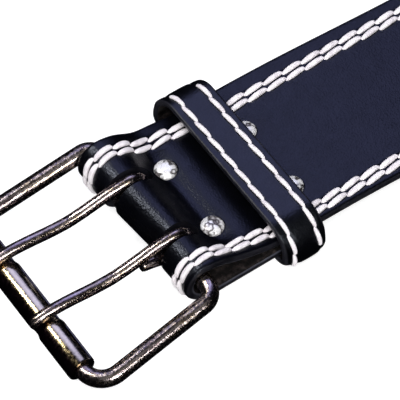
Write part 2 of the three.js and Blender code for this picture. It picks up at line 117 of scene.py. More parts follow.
# Along a prong's shank: share of the frame's depth, and share of the height over the roller
PRONG_BENDS = [(0.11, 0.79), (0.23, 0.68), (0.36, 0.55), (0.48, 0.5), (0.61, 0.61), (0.76, 0.83),
               (0.89, 0.98), (1.0, 1.0), (1.06, 0.92), (1.1, 0.77)]
SLOT_PLAY = 0.85
SLOT_REAR_PLAY = 1.6
PATTERN_SHIFT = -0.8
RIVET_SPACING = 28.0
RIVET_FRONT = 15.2
RIVET_REAR = 48.5
RIVET_HEAD = 8.2
RIVET_DOME = 2.1
RIVET_SHANK = 3.4
RIVET_FOOT = 5.4
RIVET_FOOT_HEIGHT = 0.8
RIVET_PULL = 4.8
RIVET_PULL_RADIUS = 6.5
RIVET_PULL_LEAD = 2.8
FAR_EDGE_PULL = 0.42
HOLE = 5.0
HOLE_PITCH = 25.4
HOLE_ROWS_FROM_TIP = 62.0
HOLE_STATIONS = 8

# The leather's cut edges, as shares of their rounding, and its dents
EDGE_INSET = 0.35
EDGE_FALL = 0.75
FLESH_FALL = 0.7
WALL_TOP = 0.95
WALL_FOOT = 0.9
RIVET_DENT = 0.45
RIVET_DENT_REACH = 6.0
SEAM_DENT = 0.32
KEEPER_DENT = 0.25
DENT_REACH = 0.9
KEEPER_EDGE_ROUND = 0.7

# Cuts through the leather
CUT_FOOT = -4
SLOT_CUT_TOP = 34
HOLE_CUT_TOP = 8
POCKET_PLAY = 0.42
POCKET_DEPTH = 0.9
POCKET_HEIGHT = 6

# Seams: two rows along each edge, which meet round the tip
SEAM_MIDDLE = -0.85
ROW_OFFSETS = [27.3, 24.4]
SEAM_STITCH = {"pitch": 8.2, "length": 9.3, "width": 2.2, "height": 0.95, "slant": 7.0}

# The keeper's two stitch rows: place along the belt, bend at the near end, and how late and early they end
KEEPER_ROWS = [
    {"place": 33.3, "bend": 1.6, "late": 1.7, "early": 0.0},
    {"place": 43.2, "bend": 0.8, "late": 2.6, "early": 4.0},
]
KEEPER_STITCH = {"pitch": 7.9, "length": 8.9, "width": 1.75, "height": 0.75, "slant": 4.5}
KEEPER_STITCH_SINK = 0.2
ROW_BEND_LENGTH = 22.0
ROW_START = 21
ROW_END_MARGIN = 2

# One stitch's form
STITCH_SIDES = 10
STITCH_STEPS = 9
STITCH_TAPER = 2.4
STITCH_FULLNESS = 0.6
STITCH_END_SHARE = 0.3
STITCH_SINK_SHARE = 0.35
STITCH_FLATNESS = 0.8
PLY_STEPS = 4
WOBBLE_STEP = 12.9898
WOBBLE_START = 7.1
WOBBLE_PLACE = 0.12
WOBBLE_WIDTH = 0.05
WOBBLE_SLANT = 2.0

# The metal's finer shapes
LOOP_SPACING = 1.5
WIRE_SIDES = 40
PRONG_SIDES_ROUND = 32
PRONG_STEP = 0.7
PRONG_TIP_LENGTH = 2.2
PRONG_TIP_FALL = 0.75
PRONG_TIP_LEAST = 0.1
TAIL_BEVEL = 0.4
TAIL_BEVEL_SHARE = 0.9
TAIL_OVERLAP = 0.5
ROLLER_EDGE = [(0.5, 0.0), (0.12, 0.2), (0.0, 0.6)]
ROLLER_STEP_DEGREES = 6.0
SLIT_DEGREES = 62
SLIT_WIDTH_DEGREES = 2.2
SLIT_CLEAR = 2.2
SLIT_RAYS = [-1.6, -1, -0.4, 0.4, 1, 1.6]
SLIT_DEPTH = 0.28
GROOVE_STEPS = 15
GROOVE_SLOPE = 1.35
GROOVE_FLAT = 0.3
RIVET_LIP = 0.15
RIVET_NECK_SHARE = 0.9
RIVET_RIM = 0.4
RIVET_SIDES_ROUND = 48
STREAK_LENGTH = 45.0

LIFT = KEEPER_LEATHER + GAP
LAP_TOP = LIFT + LEATHER
STRAP_TOP = LAP_TOP + GAP + LEATHER
ROLLER_RADIUS = WIRE / 2 + GAP + ROLLER_WALL
ROLLER_HEIGHT = ROLLER_RADIUS + FLOOR_CLEARANCE
FRAME_TILT = math.asin((BAR_HEIGHT - ROLLER_HEIGHT) / FRAME_DEPTH)
HOOK_RADIUS = WIRE / 2 + GAP + PRONG / 2
ROLLER_LENGTH = FRAME_SPAN - 2 * FRAME_FRONT_CORNER - 2 * GAP
PRONG_SIDES = [PATTERN_SHIFT - PRONG_SPACING / 2, PATTERN_SHIFT + PRONG_SPACING / 2]
RIVET_SIDES = [PATTERN_SHIFT - RIVET_SPACING / 2, PATTERN_SHIFT + RIVET_SPACING / 2]

# The solids' frame is centred on the belt's box; the buckle's bar was laid out at x = 0
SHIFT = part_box("strap")[1][0] - STRAP_REACH * MM


def metres(points):
    p = np.asarray(points, float) * MM
    p[:, 0] += SHIFT
    return p


# Scene helpers
def add_mesh(name, points, faces, materials, slots=None):
    mesh = bpy.data.meshes.new(name)
    mesh.from_pydata(metres(points).tolist(), [], [list(map(int, f)) for f in faces])
    for material in materials:
        mesh.materials.append(material)
    if slots is not None:
        mesh.polygons.foreach_set("material_index", np.asarray(slots, np.int32))
    mesh.polygons.foreach_set("use_smooth", [True] * len(mesh.polygons))
    mesh.update()
    obj = bpy.data.objects.new(name, mesh)
    bpy.context.scene.collection.objects.link(obj)
    return obj


def grid_faces(rows, columns, wrap_rows=False):
    faces = []
    for i in range(rows if wrap_rows else rows - 1):
        low, high = i * columns, ((i + 1) % rows) * columns
        for j in range(columns):
            following = (j + 1) % columns
            faces.append((low + j, low + following, high + following, high + j))
    return faces


def turns(count):
    """Angles of so many equal steps round a circle."""
    return [2 * math.pi * k / count for k in range(count)]


def arc(cx, cy, r, a0, a1, n):
    a = np.radians(np.linspace(a0, a1, n))
    return np.c_[cx + r * np.cos(a), cy + r * np.sin(a)]


def rounded_loop(corners):
    """Joins the corner arcs of a closed loop with straight runs of points."""
    line = []
    for i, corner in enumerate(corners):
        following = corners[(i + 1) % len(corners)]
        count = max(int(np.linalg.norm(following[0] - corner[-1]) / LOOP_SPACING), 1)
        t = np.linspace(0, 1, count + 1)[1:-1, None]
        line += [corner, corner[-1] * (1 - t) + following[0] * t]
    return np.vstack(line)


def outward(loop):
    """Unit vectors square to a closed loop, to its outside."""
    along = np.roll(loop, -1, axis=0) - np.roll(loop, 1, axis=0)
    along /= np.linalg.norm(along, axis=1)[:, None]
    return np.c_[along[:, 1], -along[:, 0]]


def wrap_uv(obj, rows, columns, step, wrap_rows=False):
    """UVs on a rod's grid: length along it in streak lengths, and the turn round it."""
    layer = obj.data.uv_layers.new(name="UVMap")
    values = np.zeros((len(obj.data.loops), 2))
    at = 0
    for i in range(rows if wrap_rows else rows - 1):
        low, high = i * step / STREAK_LENGTH, (i + 1) * step / STREAK_LENGTH
        for j in range(columns):
            left, right = j / columns, (j + 1) / columns
            values[at:at + 4] = [(low, left), (low, right), (high, right), (high, left)]
            at += 4
    layer.data.foreach_set("uv", values.ravel())


def fix_normals(obj):
    bm = bmesh.new()
    bm.from_mesh(obj.data)
    bmesh.ops.recalc_face_normals(bm, faces=bm.faces)
    bm.to_mesh(obj.data)
    bm.free()
    obj.data.update()


def smooth_by_angle(obj, degrees):
    """Marks the edges sharper than this, so that smooth shading keeps them."""
    bm = bmesh.new()
    bm.from_mesh(obj.data)
    limit = math.radians(degrees)
    for edge in bm.edges:
        if len(edge.link_faces) == 2:
            edge.smooth = edge.calc_face_angle(0.0) < limit
    bm.to_mesh(obj.data)
    bm.free()


# Materials
def new_material(name):
    material = bpy.data.materials.new(name)
    material.use_nodes = True
    tree = material.node_tree
    shader = tree.nodes["Principled BSDF"]
    return material, tree, shader


def node(tree, kind, **values):
    n = tree.nodes.new(kind)
    for key, value in values.items():
        if key in n.inputs:
            n.inputs[key].default_value = value
        else:
            setattr(n, key, value)
    return n


def ramp(tree, source, stops):
    r = tree.nodes.new("ShaderNodeValToRGB")
    elements = r.color_ramp.elements
    while len(elements) < len(stops):
        elements.new(0.5)
    for element, (at, colour) in zip(elements, stops):
        element.position = at
        element.color = (*colour, 1.0)
    tree.links.new(source, r.inputs["Fac"])
    return r


def texture(tree, place, kind, socket="Object", **values):
    """A texture laid out by the object's own coordinates, or by its UVs."""
    made = node(tree, kind, **values)
    tree.links.new(place.outputs[socket], made.inputs["Vector"])
    return made


def set_bumps(tree, shader, layers):
    """Chains bumps, each a height socket, a strength and a distance, into the shader's normal."""
    normal = None
    for height, strength, distance in layers:
        bump = node(tree, "ShaderNodeBump", Strength=strength, Distance=distance)
        tree.links.new(height, bump.inputs["Height"])
        if normal is not None:
            tree.links.new(normal, bump.inputs["Normal"])
        normal = bump.outputs["Normal"]
    tree.links.new(normal, shader.inputs["Normal"])


def leather_material(name, deep, lit, roughness, grain, wrinkle, sheen):
    """Dyed and waxed leather: fine pores, soft wrinkles, and uneven colour."""
    material, tree, shader = new_material(name)
    place = node(tree, "ShaderNodeTexCoord")
    cloud = texture(tree, place, "ShaderNodeTexNoise", Scale=45.0, Detail=5.0, Roughness=0.6)
    pores = texture(tree, place, "ShaderNodeTexVoronoi", Scale=1500.0)
    fine = texture(tree, place, "ShaderNodeTexNoise", Scale=900.0, Detail=3.0)
    creases = texture(tree, place, "ShaderNodeTexNoise", Scale=160.0, Detail=6.0, Roughness=0.65)
    colour = ramp(tree, cloud.outputs["Fac"], [(0.3, deep), (0.72, lit)])
    tree.links.new(colour.outputs["Color"], shader.inputs["Base Color"])
    gloss = node(tree, "ShaderNodeMapRange")
    gloss.inputs["To Min"].default_value = roughness - 0.07
    gloss.inputs["To Max"].default_value = roughness + 0.09
    tree.links.new(creases.outputs["Fac"], gloss.inputs["Value"])
    tree.links.new(gloss.outputs["Result"], shader.inputs["Roughness"])
    set_bumps(tree, shader, [
        (pores.outputs["Distance"], grain, 0.00012), (fine.outputs["Fac"], grain, 0.0001),
        (creases.outputs["Fac"], wrinkle, 0.0005),
    ])
    shader.inputs["Specular IOR Level"].default_value = sheen
    shader.inputs["Specular Tint"].default_value = (0.8, 0.85, 1.0, 1.0)
    return material


def edge_material():
    """Cut edges, dyed black and burnished, a little lighter in places."""
    material, tree, shader = new_material("burnished_edge")
    place = node(tree, "ShaderNodeTexCoord")
    noise = texture(tree, place, "ShaderNodeTexNoise", Scale=220.0, Detail=5.0)
    colour = ramp(tree, noise.outputs["Fac"], [(0.35, (0.003, 0.003, 0.005)), (0.7, (0.016, 0.016, 0.022))])
    tree.links.new(colour.outputs["Color"], shader.inputs["Base Color"])
    set_bumps(tree, shader, [(noise.outputs["Fac"], 0.35, 0.0004)])
    shader.inputs["Roughness"].default_value = 0.42
    return material


def corner_highlight_paint_material():
    """A painted highlight: a lighter line painted along the lower corner of a cut edge."""
    material, tree, shader = new_material("painted_corner_highlight")
    place = node(tree, "ShaderNodeTexCoord")
    noise = texture(tree, place, "ShaderNodeTexNoise", Scale=160.0, Detail=4.0)
    # Lighter than the cut edge: painted highlight
    colour = ramp(tree, noise.outputs["Fac"], [(0.3, (0.02, 0.02, 0.03)), (0.7, (0.075, 0.078, 0.1))])
    tree.links.new(colour.outputs["Color"], shader.inputs["Base Color"])
    shader.inputs["Roughness"].default_value = 0.45
    return material


def flesh_material():
    """The rough inner side: fibrous, mottled brown black."""
    material, tree, shader = new_material("flesh_side")
    place = node(tree, "ShaderNodeTexCoord")
    mottle = texture(tree, place, "ShaderNodeTexNoise", Scale=420.0, Detail=8.0, Roughness=0.7)
    fibre = texture(tree, place, "ShaderNodeTexVoronoi", Scale=700.0)
    colour = ramp(tree, mottle.outputs["Fac"], [(0.36, (0.002, 0.002, 0.002)), (0.5, (0.008, 0.006, 0.006)),
                                                (0.66, (0.05, 0.038, 0.036))])
    tree.links.new(colour.outputs["Color"], shader.inputs["Base Color"])
    set_bumps(tree, shader, [(mottle.outputs["Fac"], 0.8, 0.0006), (fibre.outputs["Distance"], 0.4, 0.0004)])
    shader.inputs["Roughness"].default_value = 0.85
    return material


def thread_material():
    """Thick waxed white thread with a faint ply."""
    material, tree, shader = new_material("white_thread")
    place = node(tree, "ShaderNodeTexCoord")
    grime = texture(tree, place, "ShaderNodeTexNoise", Scale=260.0, Detail=4.0)
    fluff = texture(tree, place, "ShaderNodeTexNoise", Scale=2200.0, Detail=3.0)
    ply = texture(tree, place, "ShaderNodeTexWave", "UV", Scale=0.9, Distortion=0.6,
                  bands_direction="DIAGONAL")
    colour = ramp(tree, grime.outputs["Fac"], [(0.3, (0.66, 0.61, 0.64)), (0.6, (0.86, 0.82, 0.84))])
    tree.links.new(colour.outputs["Color"], shader.inputs["Base Color"])
    set_bumps(tree, shader, [(fluff.outputs["Fac"], 0.3, 0.0001), (ply.outputs["Fac"], 0.35, 0.0002)])
    shader.inputs["Roughness"].default_value = 0.6
    shader.inputs["Sheen Weight"].default_value = 0.15
    return material


def around_vector(tree, place):
    """The UV's length along a rod and turn round it, as a vector with no seam where the turn closes."""
    split = tree.nodes.new("ShaderNodeSeparateXYZ")
    join = tree.nodes.new("ShaderNodeCombineXYZ")
    turn = node(tree, "ShaderNodeMath", operation="MULTIPLY")
    turn.inputs[1].default_value = 2 * math.pi
    tree.links.new(place.outputs["UV"], split.inputs["Vector"])
    tree.links.new(split.outputs["Y"], turn.inputs[0])
    tree.links.new(split.outputs["X"], join.inputs["X"])
    for operation, axis in (("COSINE", "Y"), ("SINE", "Z")):
        wave = node(tree, "ShaderNodeMath", operation=operation)
        tree.links.new(turn.outputs["Value"], wave.inputs[0])
        tree.links.new(wave.outputs["Value"], join.inputs[axis])
    return join.outputs["Vector"]


def painted_band_turn(tree, place, shade):
    """The UV's turn round a rod, moved a little by a noise shade, so that the painted highlight and shade
    bands along the rod have uneven edges.
    """
    split = tree.nodes.new("ShaderNodeSeparateXYZ")
    tree.links.new(place.outputs["UV"], split.inputs["Vector"])
    turn = node(tree, "ShaderNodeMath", operation="MULTIPLY_ADD")
    turn.inputs[1].default_value = 0.05
    tree.links.new(shade, turn.inputs[0])
    tree.links.new(split.outputs["Y"], turn.inputs[2])
    return turn.outputs["Value"]


def nickel_material(name, tones, roughness, pits, waves, streaks, layout="rod", metallic=1.0):
    """Nickel plate, pitted and uneven. Its tones run along a rod, in bands round it that paint highlight and
    shade by the turn, or over a dome.
    """
    material, tree, shader = new_material(name)
    place = node(tree, "ShaderNodeTexCoord")
    specks = texture(tree, place, "ShaderNodeTexNoise", Scale=900.0, Detail=2.0)
    wander = texture(tree, place, "ShaderNodeTexNoise", Scale=330.0, Detail=3.0)
    if layout == "dome":
        tint = texture(tree, place, "ShaderNodeTexNoise", Scale=240.0, Detail=1.5, Roughness=0.65)
    else:
        tint = node(tree, "ShaderNodeTexNoise", Scale=3.2, Detail=4.0, Roughness=0.65)
        tree.links.new(around_vector(tree, place), tint.inputs["Vector"])
    # In the bands layout the tones are painted highlight and shade, set by the turn round the rod
    shade = painted_band_turn(tree, place, tint.outputs["Fac"]) if layout == "bands" else tint.outputs["Fac"]
    colour = ramp(tree, shade, tones)
    tree.links.new(colour.outputs["Color"], shader.inputs["Base Color"])
    spread = node(tree, "ShaderNodeMapRange")
    spread.inputs["From Min"].default_value = 0.35
    spread.inputs["From Max"].default_value = 0.7
    spread.inputs["To Min"].default_value = roughness * 0.6
    spread.inputs["To Max"].default_value = roughness * 1.5
    tree.links.new(specks.outputs["Fac"], spread.inputs["Value"])
    tree.links.new(spread.outputs["Result"], shader.inputs["Roughness"])
    set_bumps(tree, shader, [(specks.outputs["Fac"], pits, 0.0001), (wander.outputs["Fac"], waves, 0.0004),
                             (tint.outputs["Fac"], streaks, 0.0003)])
    shader.inputs["Metallic"].default_value = metallic
    return material


GRAIN = leather_material("dyed_leather", (0.0003, 0.0003, 0.0006), (0.0009, 0.001, 0.0024),
                         roughness=0.32, grain=0.6, wrinkle=0.3, sheen=0.6)
KEEPER_GRAIN = leather_material("keeper_leather", (0.0003, 0.0003, 0.0005), (0.0009, 0.001, 0.0018),
                                roughness=0.34, grain=0.4, wrinkle=0.35, sheen=0.8)
EDGE = edge_material()
# A painted highlight line for the cut edges' lower corners
CORNER_HIGHLIGHT_PAINT = corner_highlight_paint_material()
FLESH = flesh_material()
THREAD = thread_material()
# The wire's tarnish: brown, pinkish nickel, a touch of gold, and purple
TARNISH = [(0.32, (0.24, 0.15, 0.17)), (0.42, (0.50, 0.41, 0.41)), (0.5, (0.74, 0.64, 0.62)),
           (0.58, (0.46, 0.35, 0.22)), (0.66, (0.28, 0.24, 0.30))]
# The roller's painted highlight, shade and reflection by turn: a warm bright painted highlight up top toward
# the rear, a darker band at the slit, painted shade below, and painted purple and gold reflections in front
ROLLER_PAINTED_LIGHT_BANDS = [(0.02, (0.66, 0.55, 0.36)), (0.055, (0.80, 0.70, 0.50)), (0.115, (0.86, 0.76, 0.55)),
                (0.155, (0.30, 0.27, 0.28)), (0.3, (0.15, 0.13, 0.14)), (0.82, (0.10, 0.08, 0.09)),
                (0.925, (0.30, 0.14, 0.24)), (0.97, (0.34, 0.22, 0.20)), (0.99, (0.62, 0.48, 0.26))]
# The rivets' domes carry a painted reflection: bright white, broken by dark patches painted as reflected
# surroundings
RIVET_PAINTED_REFLECTION = [(0.39, (0.97, 0.96, 0.95)), (0.44, (0.22, 0.20, 0.20)), (0.48, (0.03, 0.025, 0.025)),
          (0.53, (0.97, 0.96, 0.95))]
WIRE_NICKEL = nickel_material("wire_nickel", TARNISH, roughness=0.22, pits=0.45, waves=0.3, streaks=0.3)
# The roller's base colour carries painted highlight, shade and reflection bands
ROLLER_NICKEL_PAINTED_LIGHT = nickel_material("roller_nickel_painted_light", ROLLER_PAINTED_LIGHT_BANDS, roughness=0.17, pits=0.3, waves=0.1,
                                streaks=0.2, layout="bands")
# Only partly metallic, so the painted white reflection shows under any light
RIVET_NICKEL_PAINTED_REFLECTION = nickel_material("rivet_nickel", RIVET_PAINTED_REFLECTION, roughness=0.35, pits=0.4, waves=0.6,
                               streaks=0.0, layout="dome", metallic=0.45)


# The strap's side path
def bezier(a, b, c, d, t):
    t = t[:, None]
    a, b, c, d = (np.array(p, float) for p in (a, b, c, d))
    return (1 - t) ** 3 * a + 3 * (1 - t) ** 2 * t * b + 3 * (1 - t) * t ** 2 * c + t ** 3 * d


def level(start, end, height, count):
    return np.c_[np.linspace(start, end, count), np.full(count, height)]


def side_path():
    """Fine polyline (x, z) of the strap's middle line, from the lap's end to the tip."""
    half = LEATHER / 2
    lap = LIFT + half
    front = -FOLD_FRONT + half
    front_rise = LIFT + FOLD_FRONT_RISE
    hump = STRAP_TOP + HUMP_HEIGHT - half
    top = STRAP_TOP - half
    k = QUARTER_TURN
    t = np.linspace(0, 1, 400)
    ledge = LAP_END + LEATHER
    slack = (TOUCHDOWN - ledge) * TOUCHDOWN_EASE
    start = FOLD_BOTTOM_START
    parts = [
        level(LAP_END, start, lap, 200),
        bezier((start, lap), (start - k * (start - front), lap),
               (front, front_rise - k * (front_rise - lap)), (front, front_rise), t),
        bezier((front, front_rise), (front, front_rise + k * (hump - front_rise)),
               (HUMP_AHEAD - k * (HUMP_AHEAD - front), hump), (HUMP_AHEAD, hump), t),
        bezier((HUMP_AHEAD, hump), (HUMP_AHEAD + HUMP_EASE_OUT * HUMP_RUN, hump),
               (HUMP_AHEAD + HUMP_EASE_IN * HUMP_RUN, top), (HUMP_AHEAD + HUMP_RUN, top), t),
        level(HUMP_AHEAD + HUMP_RUN, ledge, top, 60),
        bezier((ledge, top), (ledge + slack, top), (TOUCHDOWN - slack, half), (TOUCHDOWN, half), t),
        level(TOUCHDOWN, STRAP_REACH, half, 400),
    ]
    points = np.vstack([parts[0], *[part[1:] for part in parts[1:]]])
    steps = np.linalg.norm(np.diff(points, axis=0), axis=1)
    length = np.r_[0, np.cumsum(steps)]
    ends = np.cumsum([len(parts[0])] + [len(part) - 1 for part in parts[1:]]) - 1
    return points, length, length[ends]


PATH, PATH_LENGTH, PATH_MARKS = side_path()
# Lengths at which the lap, the fold's front, the hump's rise and its fall end, and of the flat run
LAP_MARK, FRONT_MARK, SUMMIT, HUMP_MARK = PATH_MARKS[:4]
FLAT_MARK, TOTAL = PATH_MARKS[5:]
TANGENT = np.gradient(PATH, PATH_LENGTH, axis=0)
TANGENT /= np.linalg.norm(TANGENT, axis=1)[:, None]


def at_length(s):
    s = np.asarray(s, float)
    x = np.interp(s, PATH_LENGTH, PATH[:, 0])
    z = np.interp(s, PATH_LENGTH, PATH[:, 1])
    tx = np.interp(s, PATH_LENGTH, TANGENT[:, 0])
    tz = np.interp(s, PATH_LENGTH, TANGENT[:, 1])
    size = np.hypot(tx, tz)
    return x, z, tx / size, tz / size


def smooth(t):
    c = np.clip(t, 0, 1)
    return c * c * (3 - 2 * c)


def width_at(x):
    back = WIDEN_FROM + WIDEN_LENGTH + BACK_LENGTH
    wide = smooth((x - WIDEN_FROM) / WIDEN_LENGTH) - smooth((x - back) / WIDEN_LENGTH)
    return STRAP_WIDTH + (BACK_WIDTH - STRAP_WIDTH) * wide


def spread_at(x):
    wide = (width_at(x) - STRAP_WIDTH) / (BACK_WIDTH - STRAP_WIDTH)
    return SPREAD * smooth((x - SWAY_FROM) / (SWAY_PEAK - SWAY_FROM)) * (1 - wide)


def sway_at(s, x):
    rise = smooth((x - SWAY_FROM) / (SWAY_PEAK - SWAY_FROM))
    sway = SWAY * rise * (1 - smooth((x - SWAY_PEAK) / (SWAY_END - SWAY_PEAK)))
    return np.where(np.asarray(s) > FRONT_MARK, sway, 0.0)


def fold_lean(s, x, y):
    table = np.array(FOLD_LEAN)
    near = smooth((FOLD_LEAN_BEHIND - x) / FOLD_LEAN_RUN)
    lean = near * np.interp(np.asarray(y) / STRAP_WIDTH, table[:, 0], table[:, 1])
    return np.where(np.asarray(s) > LAP_MARK, lean, 0.0)


def lap_share(x):
    u = np.clip((x - (LAP_END - LAP_ROUNDING)) / LAP_ROUNDING, 0, 1)
    return np.sqrt(np.maximum(1 - u * u, LAP_LEAST))


def tip_share(x):
    u = np.clip((x - (STRAP_REACH - TIP_LENGTH)) / TIP_LENGTH, 0, 1)
    return np.sqrt(np.maximum(1 - u * u, TIP_LEAST))


def half_width(s):
    x = at_length(s)[0]
    on_top = np.asarray(s) > FRONT_MARK
    on_lap = np.asarray(s) < LAP_MARK
    outline = np.where(on_top, (width_at(x) + spread_at(x)) * tip_share(x), STRAP_WIDTH)
    return outline / 2 * np.where(on_lap, lap_share(x), 1.0)


def rivet_pull(s, x, y):
    along = (x - (RIVET_FRONT - RIVET_PULL_LEAD)) / RIVET_PULL_RADIUS
    inner = RIVET_SPACING / 2 + RIVET_HEAD / 2
    fade = smooth((np.abs(y - PATTERN_SHIFT) - inner) / (STRAP_WIDTH / 2 - inner))
    across = 1 - fade * np.where(y > PATTERN_SHIFT, 1 - FAR_EDGE_PULL, 1.0)
    return np.where(np.asarray(s) > FRONT_MARK, RIVET_PULL * np.exp(-along ** 2) * across, 0.0)


def thickness(s):
    taper = smooth((LAP_END - at_length(s)[0]) / (LAP_END - KEEPER_CENTRE))
    skived = LAP_END_LEATHER + (LEATHER - LAP_END_LEATHER) * taper
    return np.where(np.asarray(s) < LAP_MARK, skived, LEATHER)


def leather_point(s, y, side=1.0, above=0.0):
    """Point on the outer (side 1) or inner (side -1) face of the strap, above it by so much."""
    x, z, tx, tz = at_length(s)
    y = np.asarray(y, float)
    h = side * (thickness(s) / 2 + above)
    if side > 0:
        h = h + fold_lean(s, x, y)
    px = x - tz * h
    pz = z + tx * h - rivet_pull(s, x, y)
    return np.stack(np.broadcast_arrays(px, y + sway_at(s, x), pz), axis=-1)


def row_margins(offset):
    return STRAP_WIDTH / 2 + SEAM_MIDDLE - offset, STRAP_WIDTH / 2 - SEAM_MIDDLE - offset


def row_places(s, offset):
    """Places of a row near the near edge and near the far edge; rows don't sway with the strap."""
    x = at_length(s)[0]
    near, far = row_margins(offset)
    w = np.where(s > HUMP_MARK, width_at(x), STRAP_WIDTH) / 2
    sway = sway_at(s, x)
    return -w + near - sway, w - far - sway


def seam_line(offset):
    """Polyline (s, y) of one row, up the near edge, round the tip and back along the far edge."""
    near, far = row_margins(offset)
    tip_s = TOTAL - TIP_LENGTH
    s = np.linspace(LAP_ROUNDING * 0.6, tip_s, 1400)
    low_row, high_row = row_places(s, offset)
    a = np.linspace(-math.pi / 2, math.pi / 2, 80)
    reach = TIP_LENGTH - (near + far) / 2
    low, high = -STRAP_WIDTH / 2 + near, STRAP_WIDTH / 2 - far
    tip = np.c_[tip_s + reach * np.cos(a), (low + high) / 2 + (high - low) / 2 * np.sin(a)]
    return np.vstack([np.c_[s, low_row], tip[1:-1], np.c_[s, high_row][::-1]])


def groove(s, y):
    """Depth by which the seams' pull dents the leather."""
    depth = 0.0
    for offset in ROW_OFFSETS:
        for row in row_places(s, offset):
            shape = np.exp(-((y - row) / DENT_REACH) ** 2)
            depth = depth + SEAM_DENT * shape * (s < TOTAL - TIP_LENGTH)
    return depth


# The strap
STATION_STEP = 1.1
FLAT_MARGIN = 40
RIM_SHARES = [-1, -0.985, -0.955]


def strap_stations():
    fine = np.arange(0, FLAT_MARK - FLAT_MARGIN, STATION_STEP)
    coarse = np.linspace(FLAT_MARK - FLAT_MARGIN, TOTAL - TIP_LENGTH, 190)[1:]
    tip = TOTAL - TIP_LENGTH + TIP_LENGTH * np.sin(np.linspace(0, math.pi / 2, 28))[1:]
    return np.r_[fine, coarse, tip]


def ring_shares():
    """Places across the strap: shares of the half width, crowded at the seams."""
    near = np.linspace(-0.925, -0.72, 14)
    middle = np.linspace(-0.68, 0.68, 34)
    return np.r_[RIM_SHARES, near, middle, -near[::-1], -np.array(RIM_SHARES)[::-1]]


def make_strap():
    s = strap_stations()
    shares = ring_shares()
    half = half_width(s)[:, None]
    y = shares[None, :] * (half - EDGE_ROUND * EDGE_INSET)
    lengths = np.broadcast_to(s[:, None], y.shape)
    corner = np.clip((np.abs(y) - (half - EDGE_ROUND)) / EDGE_ROUND, 0, 1)
    drop = EDGE_ROUND * EDGE_FALL * corner ** 2
    dents = groove(lengths, y)
    x = at_length(lengths)[0]
    for rx in (RIVET_FRONT, RIVET_REAR):
        for ry in RIVET_SIDES:
            bowl = RIVET_DENT * np.exp(-(np.hypot(x - rx, y - ry) / RIVET_DENT_REACH) ** 2)
            dents = dents + np.where(lengths > SUMMIT, bowl, 0)
    outer = leather_point(lengths, y, 1.0, -dents - drop)
    inner = leather_point(lengths, y[:, ::-1], -1.0, -drop[:, ::-1] * FLESH_FALL)
    wall_top = -EDGE_ROUND * WALL_TOP
    wall_foot = -EDGE_ROUND * WALL_FOOT
    station = s[:, None]
    far = [leather_point(station, half, 1.0, wall_top), leather_point(station, half, -1.0, wall_foot)]
    near = [leather_point(station, -half, -1.0, wall_foot), leather_point(station, -half, 1.0, wall_top)]
    ring = np.concatenate([outer, *far, inner, *near], axis=1)
    rows, columns = ring.shape[:2]
    n = len(shares)
    # Material slots: the outer face, the cut edges and the flesh side, with a painted highlight line where
    # the cut edges meet the flesh side
    grain, edge, flesh, painted_corner = range(4)
    kinds = np.full(columns, edge)
    kinds[:n - 1] = grain
    kinds[n + 2:2 * n + 1] = flesh
    # The lower corners of the cut edges get a painted highlight line
    kinds[[n + 1, 2 * n + 1]] = painted_corner
    slots = np.tile(kinds, rows - 1).tolist() + [edge, edge]
    faces = grid_faces(rows, columns)
    faces += [tuple(range(columns)), tuple(range((rows - 1) * columns, rows * columns))]
    obj = add_mesh("strap_leather", ring.reshape(-1, 3), faces, [GRAIN, EDGE, FLESH, CORNER_HIGHLIGHT_PAINT], slots)
    fix_normals(obj)
    return obj


def prism(points, low, high):
    """Closed upright prism over a 2-D outline."""
    n = len(points)
    lower = [(x, y, low) for x, y in points]
    upper = [(x, y, high) for x, y in points]
    faces = [tuple(range(n))[::-1], tuple(range(n, 2 * n))]
    faces += [(i, (i + 1) % n, n + (i + 1) % n, n + i) for i in range(n)]
    return lower + upper, faces


def round_outline(cx, cy, r, count):
    return [(cx + r * math.cos(a), cy + r * math.sin(a)) for a in turns(count)]


def slot_outline(side):
    half = PRONG / 2 + SLOT_PLAY
    rear = HOOK_RADIUS + PRONG / 2 + SLOT_REAR_PLAY
    centre = rear - half
    front = -FOLD_FRONT - LEATHER
    angles = np.linspace(-math.pi / 2, math.pi / 2, 28)
    end = [(centre + half * math.cos(a), side + half * math.sin(a)) for a in angles]
    return [(front, side - half), *end, (front, side + half)]


def top_height(x, y):
    """Height of the strap's outer face on top, at a place seen from above."""
    s = np.linspace(SUMMIT, TOTAL - TIP_LENGTH, 6000)
    p = leather_point(s, np.full_like(s, y))
    return float(np.interp(x, p[:, 0], p[:, 2]))


def cut_strap(obj):
    points, faces = [], []

    def add(outline, low, high):
        p, f = prism(outline, low, high)
        base = len(points)
        points.extend(p)
        faces.extend([tuple(base + i for i in face) for face in f])

    for side in PRONG_SIDES:
        add(slot_outline(side), CUT_FOOT, SLOT_CUT_TOP)
        for i in range(HOLE_STATIONS):
            x = STRAP_REACH - HOLE_ROWS_FROM_TIP - i * HOLE_PITCH
            add(round_outline(x, side, HOLE / 2, 40), CUT_FOOT, HOLE_CUT_TOP)
    for rx in (RIVET_FRONT, RIVET_REAR):
        for ry in RIVET_SIDES:
            seat = top_height(rx, ry) - RIVET_LIP
            pocket = round_outline(rx, ry, RIVET_HEAD / 2 + POCKET_PLAY, 48)
            add(pocket, seat - POCKET_DEPTH, seat + POCKET_HEIGHT)
    cutter = add_mesh("cutter", points, faces, [EDGE])
    fix_normals(cutter)
    cut = obj.modifiers.new("cut", "BOOLEAN")
    cut.object = cutter
    cut.operation = "DIFFERENCE"
    cut.solver = "EXACT"
    cut.material_mode = "TRANSFER"
    bpy.context.view_layer.update()
    done = bpy.data.meshes.new_from_object(obj.evaluated_get(bpy.context.evaluated_depsgraph_get()))
    obj.modifiers.clear()
    obj.data = done
    bpy.data.objects.remove(cutter)
    return obj


